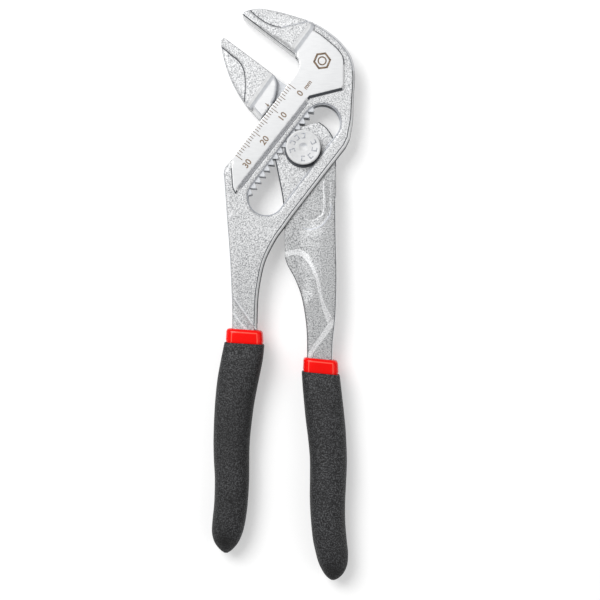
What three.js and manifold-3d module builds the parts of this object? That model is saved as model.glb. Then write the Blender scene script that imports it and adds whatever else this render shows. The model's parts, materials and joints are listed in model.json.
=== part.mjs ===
import * as THREE from "three";
import { mergeVertices } from "three/addons/utils/BufferGeometryUtils.js";
import Module from "manifold-3d";

const wasm = await Module();
wasm.setup();

// Millimetres. The hinge pin is the origin while the pieces are drawn; the jaw slides along the rail.
const RAIL = THREE.MathUtils.degToRad(37);
const PLATE = 4.2; // half thickness of the forged plates
const GROUND = 4.9; // half thickness at the ground flats
const JAW = 5.6; // half thickness of the jaws
const GAP = 2.7; // half width of the slot between the two plates
const BLADE = 2.45; // half thickness of what runs in the slot
const FIXED_FACE = 23.5; // jaw faces, measured along the rail from the pin
const SLIDING_FACE = 13.5;
const JAW_END = -43.4; // free end of the jaws, across the rail
const RULER_EDGE = -17.0; // graduated edge
const RULER_INNER = -9.8; // inner edge of the graduated flat
const WINDOW_R = 6.1;
const WINDOW_TOP = 10.8; // centres of the end arcs of the window
const WINDOW_BOTTOM = -20.9;
const RECESS_R = 6.6;
const RACK_Z = 3.3; // the rack stands below the plate surface
const PITCH = 2.5;
const TEETH = 15;
const FIRST_TOOTH = 12.0;
const RACK_TIP = -4.35;
const RACK_ROOT = -6.2;
const LOBE_AT = 10.2; // drive radius of the cam lobe
const LOBE_R = 3.2;
const TONGUE_EDGE = -7.7;
const RIB_Z = 3.35;
const CAP_R = 5.9;
const CAP_Z = 4.75;
const CAP_TOP = 6.2;
const AXLE_R = 3.4;
const DISC_R = 7.6;
const BACK = -5.9; // outer face of the rear disc
const STEM_R = 1.3;
const GRIP_D = 6.5; // half thickness of the grips

// A point given along the rail and across it.
const rail = (s, t) => [
  s * Math.sin(RAIL) + t * Math.cos(RAIL),
  s * Math.cos(RAIL) - t * Math.sin(RAIL),
];

function solidOf(geometry) {
  const g = geometry.clone();
  g.deleteAttribute("normal");
  g.deleteAttribute("uv");
  const m = mergeVertices(g, 1e-4);
  return new wasm.Manifold(
    new wasm.Mesh({
      numProp: 3,
      vertProperties: new Float32Array(m.attributes.position.array),
      triVerts: new Uint32Array(m.index.array),
    }),
  );
}

function meshOf(name, solid, color) {
  const m = solid.getMesh();
  const g = new THREE.BufferGeometry();
  g.setAttribute("position", new THREE.BufferAttribute(Float32Array.from(m.vertProperties), 3));
  g.setIndex(new THREE.BufferAttribute(Uint32Array.from(m.triVerts), 1));
  g.computeVertexNormals();
  const mesh = new THREE.Mesh(g, new THREE.MeshStandardMaterial({ color, roughness: 0.5 }));
  mesh.name = name;
  return mesh;
}

// A flat slab between two heights, with a chamfer round both faces.
function slab(points, z0, z1, chamfer = 0) {
  const shape = new THREE.Shape(points.map(([x, y]) => new THREE.Vector2(x, y)));
  const g = new THREE.ExtrudeGeometry(shape, {
    depth: z1 - z0 - 2 * chamfer,
    bevelEnabled: chamfer > 0,
    bevelThickness: chamfer,
    bevelSize: chamfer,
    bevelOffset: -chamfer,
    bevelSegments: 1,
  });
  g.translate(0, 0, z0 + chamfer);
  return solidOf(g);
}

const both = (points, z, chamfer = 0) => slab(points, -z, z, chamfer);

// A turned body about the pin: pairs of radius and height, from the axis back to the axis.
function turned(profile, steps = 48) {
  const points = profile.map(([r, z]) => new THREE.Vector2(r, z));
  const g = new THREE.LatheGeometry(points, steps);
  g.rotateX(Math.PI / 2);
  return solidOf(g);
}

const drum = (r, z0, z1, c = 0, steps = 48) =>
  turned([[0, z0], [r - c, z0], [r, z0 + c], [r, z1 - c], [r - c, z1], [0, z1]], steps);

// A stadium along the rail.
function stadium(r, s0, s1, steps = 20) {
  const points = [];
  for (let i = 0; i <= steps; i++) {
    const a = (Math.PI * i) / steps;
    points.push(rail(s1 + r * Math.sin(a), -r * Math.cos(a)));
  }
  for (let i = 0; i <= steps; i++) {
    const a = (Math.PI * i) / steps;
    points.push(rail(s0 - r * Math.sin(a), r * Math.cos(a)));
  }
  return points;
}

// Smooth curve through a few points.
function curve(points, steps) {
  const c = new THREE.SplineCurve(points.map(([x, y]) => new THREE.Vector2(x, y)));
  return c.getPoints(steps).map((p) => [p.x, p.y]);
}

// A handle section list holds height, centre, half width, half depth.
function loft(sections, squareness, tilt, sides = 32) {
  const position = [];
  const index = [];
  sections.forEach(([y, c, w, d]) => {
    for (let k = 0; k < sides; k++) {
      const a = (2 * Math.PI * k) / sides;
      const u = Math.sign(Math.cos(a)) * Math.abs(Math.cos(a)) ** (2 / squareness);
      const v = Math.sign(Math.sin(a)) * Math.abs(Math.sin(a)) ** (2 / squareness);
      position.push(c + w * u, y - tilt * w * u, d * v);
    }
  });
  const last = sections.length - 1;
  for (let i = 0; i < last; i++)
    for (let k = 0; k < sides; k++) {
      const a = i * sides + k;
      const b = i * sides + ((k + 1) % sides);
      index.push(a, b, a + sides, b, b + sides, a + sides);
    }
  const top = position.length / 3;
  position.push(sections[0][1], sections[0][0], 0);
  position.push(sections[last][1], sections[last][0], 0);
  for (let k = 0; k < sides; k++) {
    const n = (k + 1) % sides;
    index.push(top, n, k);
    index.push(top + 1, last * sides + k, last * sides + n);
  }
  const g = new THREE.BufferGeometry();
  g.setAttribute("position", new THREE.Float32BufferAttribute(position, 3));
  g.setIndex(index);
  return solidOf(g);
}

// The outline of a tang: down one side and up the other.
function tangOutline(sections, grow) {
  const left = sections.map(([y, c, w]) => [c - w - grow, y]);
  const right = sections.map(([y, c, w]) => [c + w + grow, y]);
  const last = sections[sections.length - 1];
  const end = [last[1], last[0] - last[2] - grow];
  return { left, right, end };
}

const tangShape = (sections, grow, top) => {
  const t = tangOutline(sections, grow);
  const first = sections[0];
  const up = [
    [first[1] + first[2] + grow, first[0] + top],
    [first[1] - first[2] - grow, first[0] + top],
  ];
  return [...up, ...t.left.slice(1), t.end, ...t.right.slice(1).reverse()];
};

// ---- the fixed lever ----
const FIXED_TANG = [
  [-60.0, -19.9, 3.9],
  [-72.0, -21.0, 3.9],
  [-86.0, -23.2, 3.6],
  [-106.0, -24.4, 3.1],
  [-119.0, -24.5, 2.6],
];
const CAM_TANG = [
  [-70.0, 5.6, 3.9],
  [-82.0, 6.5, 3.9],
  [-96.0, 8.0, 3.6],
  [-116.0, 8.5, 3.1],
  [-129.0, 8.7, 2.6],
];

const throat = () =>
  curve([rail(FIXED_FACE, -21.2), rail(22.5, -18.7), rail(20.4, -17.4), rail(17.0, RULER_EDGE)], 9);

function fixedOutline() {
  const back = curve(
    [[-3.5, -22.9], [-6.5, -27.1], [-9.4, -31.2], [-12.8, -38.0], [-14.5, -44.8], [-15.4, -51.6], [-15.7, -61.0]],
    16,
  );
  const brow = curve(
    [[15.95, 3.2], [16.9, 9.4], [17.1, 16.2], [17.55, 25.0], [15.9, 30.8], [12.5, 35.3], [5.7, 41.1], [1.6, 43.1]],
    24,
  );
  const nose = curve([[1.6, 43.1], [-7.9, 46.0], [-14.0, 47.0], [-18.2, 46.5], [-20.3, 45.6]], 12);
  const shoulder = curve([[-26.5, -6.6], [-27.0, -8.7], [-26.7, -11.5], [-25.8, -24.4], [-24.8, -38.0], [-24.2, -51.6]], 14);
  return [
    rail(FIXED_FACE, JAW_END),
    ...throat(),
    rail(-18.5, RULER_EDGE),
    ...shoulder,
    [-24.15, -61.0],
    ...back.reverse(),
    rail(9.0, 11.4),
    ...brow,
    ...nose.slice(1),
  ];
}

function groundOutline() {
  return [
    [-2.4, 32.2],
    ...throat().slice(1),
    rail(-18.5, RULER_EDGE),
    [-24.2, -7.7],
    [-23.8, -13.8],
    [-23.1, -15.6],
    rail(-24.0, RULER_INNER),
    rail(13.1, -9.1),
    [1.8, 17.2],
    [12.8, 19.9],
    [13.5, 20.4],
    ...curve([[13.6, 28.8], [13.3, 31.0], [9.1, 36.3], [5.7, 38.8], [3.1, 39.9]], 10),
  ];
}

function fixedJawOutline() {
  const crease = curve([[1.6, 42.5], [-4.5, 41.2], [-8.0, 40.7], [-12.2, 42.0], [-15.9, 44.5], [-17.9, 46.3]], 12);
  return [
    rail(FIXED_FACE, JAW_END),
    rail(FIXED_FACE, -23.9),
    rail(24.1, -23.2),
    ...crease,
    [-20.2, 45.6],
  ];
}

// What the slot between the plates takes out: room for the tongue, the cam head and its whole sweep.
function slotOutline() {
  return [
    rail(22.6, -30.0),
    rail(22.6, -20.9),
    rail(24.0, -20.9),
    rail(24.0, -7.0),
    rail(20.9, -5.5),
    rail(21.0, 0.0),
    rail(19.6, 5.7),
    rail(17.0, 9.0),
    rail(16.2, 10.8),
    rail(15.6, 20.0),
    rail(0.0, 45.0),
    rail(-57.6, 45.0),
    rail(-57.6, 26.0),
    rail(-57.0, 21.2),
    rail(-54.0, 16.9),
    rail(-46.2, 10.8),
    rail(-39.2, 4.9),
    rail(-34.5, -0.6),
    rail(-31.5, -5.0),
    rail(-29.5, -8.5),
    rail(-29.5, -30.0),
  ];
}

// The toothed bar that stands into the window.
function rackOutline() {
  const points = [rail(FIRST_TOOTH + PITCH / 2, -9.0), rail(FIRST_TOOTH + PITCH / 2, RACK_ROOT)];
  for (let i = 0; i < TEETH; i++) {
    const s = FIRST_TOOTH - i * PITCH;
    points.push(rail(s + 0.12, RACK_TIP), rail(s - 0.12, RACK_TIP), rail(s - PITCH / 2, RACK_ROOT));
  }
  points.push(rail(FIRST_TOOTH - (TEETH - 0.5) * PITCH, -9.0));
  return points;
}

function fixedLever() {
  let body = both(fixedOutline(), PLATE, 0.5)
    .add(both(groundOutline(), GROUND, 0.25))
    .add(both(fixedJawOutline(), JAW, 0.3))
    .add(both(tangShape(FIXED_TANG, 0, 2.0), 2.3));
  body = body.subtract(both(slotOutline(), GAP));
  body = body.subtract(both([rail(-22.2, -16.5), rail(24.0, -16.5), rail(24.0, -14.3), rail(-22.2, -14.3)], RIB_Z + 0.25));
  const recess = stadium(RECESS_R, WINDOW_BOTTOM, WINDOW_TOP);
  body = body.subtract(slab(recess, RACK_Z, 9)).subtract(slab(recess, -9, -RACK_Z));
  const opening = both(stadium(WINDOW_R, WINDOW_BOTTOM, WINDOW_TOP), 9).subtract(both(rackOutline(), 10));
  return body.subtract(opening);
}

// ---- the sliding jaw ----
function slidingOutline() {
  const back = curve(
    [[-27.5, 36.6], [-27.85, 35.4], [-26.9, 30.0], [-24.5, 23.2], [-20.8, 16.7], [-16.4, 11.3], rail(-1.2, -17.3)],
    20,
  );
  const corner = curve(
    [rail(5.8, -17.3), rail(7.6, -17.6), rail(10.1, -18.7), rail(12.4, -20.2), rail(SLIDING_FACE, -21.9)],
    8,
  );
  return [rail(SLIDING_FACE, JAW_END + 0.2), [-27.2, 37.4], ...back, ...corner];
}

function slidingFlatOutline() {
  const corner = curve(
    [rail(5.8, -17.3), rail(7.6, -17.6), rail(10.1, -18.7), rail(12.4, -20.2), rail(SLIDING_FACE, -21.9)],
    8,
  );
  return [rail(SLIDING_FACE, -25.0), rail(1.4, -25.0), rail(0.6, -21.6), rail(-0.4, -17.3), ...corner];
}

function slidingJawOutline() {
  const crease = curve([[-27.0, 33.6], [-24.7, 31.4], [-21.7, 29.0], [-20.0, 25.7], [-19.6, 21.0], [-19.9, 16.3]], 12);
  return [
    rail(SLIDING_FACE, -23.2),
    rail(SLIDING_FACE, JAW_END + 0.5),
    [-27.3, 36.6],
    ...crease,
    [-18.2, 14.2],
  ];
}

function tongueOutline() {
  return [
    rail(SLIDING_FACE, -24.0),
    rail(SLIDING_FACE, TONGUE_EDGE),
    rail(LOBE_R + 0.15, TONGUE_EDGE),
    rail(LOBE_R + 0.15, -13.9),
    rail(-LOBE_R - 0.15, -13.9),
    rail(-LOBE_R - 0.15, TONGUE_EDGE),
    rail(-5.3, TONGUE_EDGE),
    rail(-5.3, -12.2),
    rail(-1.1, -17.3),
    rail(3.0, -24.0),
  ];
}

function slidingJaw() {
  const rib = [rail(1.5, -16.2), rail(13.0, -16.2), rail(13.0, -14.6), rail(1.5, -14.6)];
  return both(slidingOutline(), PLATE, 0.4)
    .add(both(slidingFlatOutline(), GROUND, 0.2))
    .add(both(slidingJawOutline(), JAW, 0.3))
    .add(both(tongueOutline(), BLADE))
    .add(both(rib, RIB_Z));
}

// ---- the cam lever ----
function camOutline() {
  const lobe = [];
  for (let i = 0; i <= 16; i++) {
    const a = THREE.MathUtils.degToRad(-130 + (260 * i) / 16);
    lobe.push(rail(LOBE_R * Math.sin(a), -LOBE_AT - LOBE_R * Math.cos(a)));
  }
  const crown = curve([[5.4, 8.85], [7.4, 7.5], [9.1, 5.5], [10.3, 3.1], [10.9, -1.5], [11.2, -6.0]], 14);
  const outer = curve([[11.2, -17.0], [11.3, -30.0], [11.6, -44.0], [11.2, -57.0], [10.3, -66.0], [10.1, -71.0]], 12);
  const inner = curve([[1.3, -71.0], [1.2, -62.0], [-0.3, -51.6], [-2.6, -44.8], [-5.2, -40.0], [-6.2, -37.2]], 14);
  const flank = curve([[-6.35, -27.0], [-6.9, -18.0], [-8.2, -10.8], rail(-8.8, -5.4)], 8);
  return [
    ...crown,
    ...outer,
    ...inner,
    ...flank,
    rail(-8.0, -6.6),
    rail(-2.0, -6.9),
    ...lobe,
    rail(2.0, -6.9),
    rail(3.2, -6.2),
    rail(6.6, -4.1),
    rail(8.8, -2.5),
  ];
}

// The thick part of the lever, outside the rounded shoulder that the head is cut back to.
function camThickOutline() {
  const shoulder = curve([[9.4, -13.0], [9.4, -21.0], [8.4, -23.8], [6.4, -26.2], [4.2, -27.3], [1.9, -27.6], [-0.2, -28.2], [-1.4, -30.5]], 16);
  const outer = curve([[11.3, -30.0], [11.6, -44.0], [11.2, -57.0], [10.3, -66.0], [10.1, -71.0]], 10);
  const inner = curve([[1.3, -71.0], [1.2, -62.0], [-0.3, -51.6], [-1.4, -47.6]], 8);
  return [[11.2, -12.6], ...outer, ...inner, ...shoulder.reverse()];
}

function camLever() {
  return both(camOutline(), BLADE, 0.25)
    .add(both(camThickOutline(), 4.1, 0.7))
    .add(both(tangShape(CAM_TANG, 0, 2.0), 2.3))
    .subtract(drum(AXLE_R + 0.15, -9, 9))
    .subtract(drum(4.4, 1.2, 9));
}

// ---- the lock ----
function hingeBolt() {
  const profile = [
    [1.6, -5.0],
    [2.9, -5.0],
    [2.9, BACK],
    [DISC_R - 0.4, BACK],
    [DISC_R, BACK + 0.4],
    [DISC_R, -4.5],
    [4.1, -4.5],
    [4.1, -2.75],
    [AXLE_R, -2.75],
    [AXLE_R, 0.9],
    [2.85, 0.9],
    [2.85, -2.5],
    [1.6, -2.5],
    [1.6, -5.0],
  ];
  return turned(profile);
}

function pushButton() {
  return turned([
    [0, -5.8],
    [1.1, -5.8],
    [STEM_R, -5.6],
    [STEM_R, -5.55],
    [1.0, -5.55],
    [1.0, -5.15],
    [STEM_R, -5.15],
    [STEM_R, 2.7],
    [4.1, 2.7],
    [4.1, CAP_Z],
    [CAP_R, CAP_Z],
    [CAP_R, CAP_TOP - 0.35],
    [CAP_R - 0.35, CAP_TOP],
    [1.5, CAP_TOP],
    [0.6, CAP_TOP - 0.35],
    [0, CAP_TOP - 0.4],
  ]);
}

const retainingRing = () =>
  turned([[1.12, -5.5], [2.3, -5.5], [2.3, -5.2], [1.12, -5.2], [1.12, -5.5]], 32);

function buttonSpring() {
  const turns = 4;
  const path = new THREE.CatmullRomCurve3(
    Array.from({ length: turns * 12 + 1 }, (_, i) => {
      const a = (2 * Math.PI * i) / 12;
      return new THREE.Vector3(2.2 * Math.cos(a), 2.2 * Math.sin(a), -2.0 + (4.4 * i) / (turns * 12));
    }),
  );
  const wire = new THREE.Shape();
  wire.absarc(0, 0, 0.28, 0, 2 * Math.PI, false);
  return solidOf(
    new THREE.ExtrudeGeometry(wire, { steps: turns * 16, curveSegments: 6, bevelEnabled: false, extrudePath: path }),
  );
}

// ---- the grips ----
const FIXED_GRIP = [
  [-66.4, -20.2, 6.3, 5.7],
  [-67.2, -20.3, 6.8, 6.2],
  [-72.0, -21.1, 7.15, GRIP_D],
  [-79.0, -22.4, 7.2, GRIP_D],
  [-86.0, -23.3, 6.9, GRIP_D],
  [-92.6, -24.2, 6.35, GRIP_D],
  [-99.4, -24.5, 6.2, GRIP_D],
  [-113.0, -24.3, 5.85, GRIP_D],
  [-121.0, -24.6, 5.75, 6.3],
  [-127.0, -25.3, 5.6, 5.8],
  [-131.0, -25.9, 5.1, 5.0],
  [-134.0, -26.2, 4.3, 4.0],
  [-136.3, -26.3, 2.8, 2.6],
  [-137.5, -26.3, 1.0, 1.0],
];
const CAM_GRIP = [
  [-76.5, 5.9, 6.0, 5.6],
  [-77.3, 6.0, 6.4, 6.1],
  [-82.4, 6.6, 6.5, GRIP_D],
  [-92.6, 7.6, 6.6, GRIP_D],
  [-99.4, 8.3, 6.4, GRIP_D],
  [-106.0, 8.7, 6.3, GRIP_D],
  [-113.0, 8.6, 6.2, GRIP_D],
  [-120.0, 8.4, 6.0, GRIP_D],
  [-127.0, 8.5, 5.8, 6.4],
  [-133.5, 9.2, 5.7, 6.0],
  [-137.5, 9.8, 5.4, 5.4],
  [-141.5, 10.2, 4.7, 4.4],
  [-144.6, 10.3, 3.3, 3.0],
  [-147.1, 10.3, 1.0, 1.0],
];

// The inner sleeve shows as a collar and runs on as a liner round the tang.
function liner(collar, tang, gap) {
  const rows = tang.slice(1).map(([y, c, w]) => [y, c, w + 1.7 + gap, 3.9 + gap]);
  const last = tang[tang.length - 1];
  return [...collar, ...rows, [last[0] - 3.0, last[1], last[2] + 0.8 + gap, 2.6 + gap]];
}

const FIXED_COLLAR = [
  [-61.7, -20.1, 5.2, 3.8],
  [-62.5, -20.1, 5.9, 4.9],
  [-64.0, -20.1, 6.1, 5.2],
  [-66.1, -20.2, 6.1, 5.2],
  [-66.2, -20.3, 5.6, 3.9],
];
const CAM_COLLAR = [
  [-71.9, 5.6, 5.0, 3.8],
  [-72.7, 5.7, 5.7, 4.9],
  [-74.2, 5.8, 5.85, 5.2],
  [-76.2, 5.9, 5.85, 5.2],
  [-76.3, 5.9, 5.6, 3.9],
];

const innerSleeve = (collar, tang, tilt) =>
  loft(liner(collar, tang, 0), 3.0, tilt).subtract(both(tangShape(tang, 0.2, 6.0), 2.5));

function outerSleeve(grip, collar, tang, tilt) {
  const [y, c, w, d] = collar[4];
  const mouth = [[y + 3.0, c, w + 0.2, d + 0.2], [y - 1.0, c, w + 0.2, d + 0.2]];
  return loft(grip, 2.5, tilt).subtract(loft(liner(mouth, tang, 0.2), 3.0, tilt));
}

const STEEL = 0xb9bcc0;
const RED = 0xc01f1c;
const BLACK = 0x1b1b1c;
const pliers = new THREE.Group();
pliers.add(meshOf("fixed_lever", fixedLever(), STEEL));
pliers.add(meshOf("sliding_jaw", slidingJaw(), STEEL));
pliers.add(meshOf("cam_lever", camLever(), STEEL));
pliers.add(meshOf("hinge_bolt", hingeBolt(), 0x9a9ea3));
pliers.add(meshOf("push_button", pushButton(), 0xcfd1d3));
pliers.add(meshOf("button_spring", buttonSpring(), 0x8d9094));
pliers.add(meshOf("retaining_ring", retainingRing(), 0x6f7276));
pliers.add(meshOf("fixed_grip_inner", innerSleeve(FIXED_COLLAR, FIXED_TANG, 0.06), RED));
pliers.add(meshOf("fixed_grip_outer", outerSleeve(FIXED_GRIP, FIXED_COLLAR, FIXED_TANG, 0.06), BLACK));
pliers.add(meshOf("cam_grip_inner", innerSleeve(CAM_COLLAR, CAM_TANG, 0.1), RED));
pliers.add(meshOf("cam_grip_outer", outerSleeve(CAM_GRIP, CAM_COLLAR, CAM_TANG, 0.1), BLACK));

// The tool stands on its bounding box: centre of the footprint at the origin, lowest face at zero.
const bounds = new THREE.Box3().setFromObject(pliers);
pliers.position.set(
  -(bounds.min.x + bounds.max.x) / 2,
  -(bounds.min.y + bounds.max.y) / 2,
  -bounds.min.z,
);
pliers.updateMatrixWorld(true);

export default pliers;
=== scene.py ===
import json
import math

import bmesh
import bpy
import numpy as np
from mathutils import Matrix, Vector
from mathutils.geometry import delaunay_2d_cdt


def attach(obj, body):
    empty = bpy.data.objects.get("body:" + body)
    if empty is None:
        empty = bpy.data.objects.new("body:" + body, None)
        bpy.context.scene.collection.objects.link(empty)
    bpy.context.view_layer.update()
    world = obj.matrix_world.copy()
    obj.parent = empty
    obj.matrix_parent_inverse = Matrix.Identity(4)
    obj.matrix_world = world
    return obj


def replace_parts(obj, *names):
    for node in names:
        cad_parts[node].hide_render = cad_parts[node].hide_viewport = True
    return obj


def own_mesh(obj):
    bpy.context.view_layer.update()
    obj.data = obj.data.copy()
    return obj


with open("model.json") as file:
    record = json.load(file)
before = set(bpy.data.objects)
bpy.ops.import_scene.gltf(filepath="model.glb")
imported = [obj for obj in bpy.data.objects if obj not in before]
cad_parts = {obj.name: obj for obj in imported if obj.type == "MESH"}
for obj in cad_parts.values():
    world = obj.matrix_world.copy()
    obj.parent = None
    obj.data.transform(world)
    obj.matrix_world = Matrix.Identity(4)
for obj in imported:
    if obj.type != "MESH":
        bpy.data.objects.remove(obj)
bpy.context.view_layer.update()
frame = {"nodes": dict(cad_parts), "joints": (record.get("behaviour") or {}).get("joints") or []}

# ---------------------------------------------------------------- measures
# Drawn in millimetres about the hinge pin, x to the right, y up the handles, z out of the
# graduated side. The rail is the direction in which the jaw closes.
PIN = Vector(next(j["pos_m"] for j in frame["joints"] if j["name"] == "handle_swing"))
MM = 0.001
RAIL = math.radians(37)
PLATE, GROUND, JAW = 4.2, 4.9, 5.6
GAP, BLADE, CAM = 2.7, 2.45, 3.9
RACK = 3.3
FIXED_FACE, SLIDING_FACE = 23.5, 13.5
RULER_EDGE, RULER_INNER = -17.0, -9.8
PITCH, TEETH, FIRST_TOOTH, TIP, ROOT = 2.5, 15, 12.0, -4.35, -6.2
WINDOW_R, WINDOW_TOP, WINDOW_BOTTOM = 6.1, 10.8, -20.9


def rail(s, t):
    return (
        s * math.sin(RAIL) + t * math.cos(RAIL),
        s * math.cos(RAIL) - t * math.sin(RAIL),
    )


def curve(points, steps=24):
    """steps + 1 rows on a Catmull-Rom curve through the points, of any dimension."""
    p = [np.array(q, float) for q in points]
    out = []
    for i in range(steps + 1):
        u = i / steps * (len(p) - 1)
        k = min(int(u), len(p) - 2)
        w = u - k
        a, b, c, d = p[max(k - 1, 0)], p[k], p[k + 1], p[min(k + 2, len(p) - 1)]
        v0, v1 = (c - a) / 2, (d - b) / 2
        q = (2 * b - 2 * c + v0 + v1) * w**3 + (-3 * b + 3 * c - 2 * v0 - v1) * w**2 + v0 * w + b
        out.append(tuple(map(float, q)))
    return out


# ---------------------------------------------------------------- flat geometry
def inside(poly, pts):
    x, y = pts[:, 0], pts[:, 1]
    a = np.array(poly)
    b = np.roll(a, -1, 0)
    hit = np.zeros(len(pts), bool)
    for (x0, y0), (x1, y1) in zip(a, b):
        if y0 == y1:
            continue
        cross = ((y0 > y) != (y1 > y)) & (x < (x1 - x0) * (y - y0) / (y1 - y0) + x0)
        hit ^= cross
    return hit


def distance(line, pts, closed=True):
    a = np.array(line, float)
    b = np.roll(a, -1, 0)
    if not closed:
        a, b = a[:-1], b[:-1]
    best = np.full(len(pts), 1e9)
    for p, q in zip(a, b):
        d = q - p
        n = float(d @ d) or 1e-12
        w = np.clip(((pts - p) @ d) / n, 0, 1)
        best = np.minimum(best, np.hypot(*(pts - p - w[:, None] * d).T))
    return best


def ramp(d, width):
    """0 at 0, 1 at width, smooth at both ends."""
    u = np.clip(d / width, 0, 1)
    return u * u * (3 - 2 * u)


def resample(line, step, closed=True):
    pts = list(line) + ([line[0]] if closed else [])
    out = []
    for (x0, y0), (x1, y1) in zip(pts, pts[1:]):
        n = max(1, round(math.hypot(x1 - x0, y1 - y0) / step))
        out += [(x0 + (x1 - x0) * i / n, y0 + (y1 - y0) * i / n) for i in range(n)]
    if not closed:
        out.append(tuple(pts[-1]))
    return out


def shifted(line, d, closed=True):
    """The line moved sideways by d, to its left."""
    p = np.array(line, float)
    if closed:
        t = np.roll(p, -1, 0) - np.roll(p, 1, 0)
    else:
        t = np.gradient(p, axis=0)
    t /= np.maximum(np.hypot(*t.T), 1e-9)[:, None]
    d = np.broadcast_to(d, len(p))[:, None]
    return [tuple(q) for q in p + d * np.stack([-t[:, 1], t[:, 0]], 1)]


def beside(line, *offsets, trim=0):
    """Guide lines beside a line, at these distances to its left, less trim points at each end."""
    rows = [shifted(line, d, False) for d in offsets]
    return [(row[trim : len(row) - trim], False) for row in rows]


def area(poly):
    p = np.array(poly)
    q = np.roll(p, -1, 0)
    return float((p[:, 0] * q[:, 1] - q[:, 0] * p[:, 1]).sum() / 2)


def ccw(poly):
    return list(poly) if area(poly) > 0 else list(poly)[::-1]


def level(z):
    return lambda p: np.full(len(p), z)


def mirrored(height):
    """The same relief on the rear side."""
    return lambda p: -height(p)


def link(name, bm, materials, body, sharp=38):
    for f in bm.faces:
        f.smooth = True
    limit = math.radians(sharp)
    for e in bm.edges:
        e.smooth = len(e.link_faces) == 2 and e.calc_face_angle(0) < limit
    mesh = bpy.data.meshes.new(name)
    bm.to_mesh(mesh)
    bm.free()
    for m in materials:
        mesh.materials.append(m)
    o = bpy.data.objects.new(name, mesh)
    bpy.context.scene.collection.objects.link(o)
    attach(o, body)
    return o


def place(x, y, z):
    return (PIN.x + x * MM, PIN.y + y * MM, PIN.z + z * MM)


BORDER_ROWS = (0.12, 0.3, 0.55, 0.9, 1.3)


def layer(
    bm, keep, loops, top, bottom, step, zone=None, extra=(), rounds=BORDER_ROWS, wall=None
):
    """One closed sheet of metal: a fine triangulation of the kept area, lifted to top(p) and
    dropped to bottom(p), with walls along its borders. extra holds lines that its edges follow,
    rounds the distances from the borders at which it has rows of points."""
    verts, edges = [], []

    def add(line, closed):
        first = len(verts)
        verts.extend(line)
        n = len(line)
        edges.extend((first + i, first + i + 1) for i in range(n - 1))
        if closed:
            edges.append((first + n - 1, first))

    borders = []
    for loop in loops:
        loop = resample(ccw(loop), step)
        borders.append(loop)
        add(loop, True)
    for line, closed in extra:
        add(resample(line, step, closed), closed)
    lines = np.array(verts, float)
    near = []
    for loop in borders:
        for d in rounds:
            for side in (d, -d):
                p = np.array(shifted(loop, side))
                ok = keep(p) & (distance(loop, p) > 0.9 * d)
                near.extend(map(tuple, p[ok][:: 1 if d < 0.6 else 2]))
    lo, hi = lines.min(0), lines.max(0)
    rows = np.arange(lo[1], hi[1], step * 0.87)
    grid = []
    for i, y in enumerate(rows):
        xs = np.arange(lo[0] + (i % 2) * step / 2, hi[0], step)
        grid.extend((x, y) for x in xs)
    grid = np.array(grid)
    grid = grid[keep(grid)]
    close = np.full(len(grid), 1e9)
    for loop in borders:
        close = np.minimum(close, distance(loop, grid))
    grid = grid[close > (rounds[-1] + 0.3 * step if rounds else 0.3 * step)]
    pts = verts + near + [tuple(p) for p in grid]
    out = delaunay_2d_cdt([Vector(p) for p in pts], edges, [], 0, 1e-4)
    vs = np.array([tuple(v) for v in out[0]], float)
    tris = np.array(out[2], int)
    mid = vs[tris].mean(1)
    tris = tris[keep(mid)]
    flip = np.cross(vs[tris[:, 1]] - vs[tris[:, 0]], vs[tris[:, 2]] - vs[tris[:, 0]]) < 0
    tris[flip] = tris[flip][:, ::-1]
    used = np.unique(tris)
    index = {int(u): i for i, u in enumerate(used)}
    vs = vs[used]
    zt, zb = top(vs), bottom(vs)
    up = [bm.verts.new(place(x, y, z)) for (x, y), z in zip(vs, zt)]
    down = [bm.verts.new(place(x, y, z)) for (x, y), z in zip(vs, zb)]
    slots = zone(mid[keep(mid)]) if zone else np.zeros(len(tris), int)
    seen = {}
    for t, m in zip(tris, slots):
        a, b, c = (index[int(k)] for k in t)
        bm.faces.new((up[a], up[b], up[c])).material_index = int(m)
        bm.faces.new((down[c], down[b], down[a])).material_index = int(m)
        for e in ((a, b), (b, c), (c, a)):
            seen[e] = int(m)
    rim = [e for e in seen if (e[1], e[0]) not in seen]
    ends = np.array([(vs[a], vs[b]) for a, b in rim])
    kinds = wall(ends.mean(1)) if wall else np.zeros(len(rim), int)
    for (a, b), m in zip(rim, kinds):
        bm.faces.new((up[b], up[a], down[a], down[b])).material_index = int(m)
    return bm


def turned(bm, profile, steps=96, centre=(0.0, 0.0)):
    """A body of revolution about an axis along z, from pairs of radius and height."""
    rings = []
    for r, z in profile:
        if r < 1e-6:
            rings.append([bm.verts.new(place(centre[0], centre[1], z))])
            continue
        rings.append(
            [
                bm.verts.new(
                    place(
                        centre[0] + r * math.cos(2 * math.pi * k / steps),
                        centre[1] + r * math.sin(2 * math.pi * k / steps),
                        z,
                    )
                )
                for k in range(steps)
            ]
        )
    for p, q in zip(rings, rings[1:]):
        for k in range(steps):
            n = (k + 1) % steps
            f = [p[k % len(p)], p[n % len(p)], q[n % len(q)], q[k % len(q)]]
            f = list(dict.fromkeys(f))
            if len(f) > 2:
                bm.faces.new(f)
    return bm


# ---------------------------------------------------------------- materials
def nodes_of(name):
    m = bpy.data.materials.new(name)
    m.use_nodes = True
    nt = m.node_tree
    return m, nt, nt.nodes["Principled BSDF"]


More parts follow.
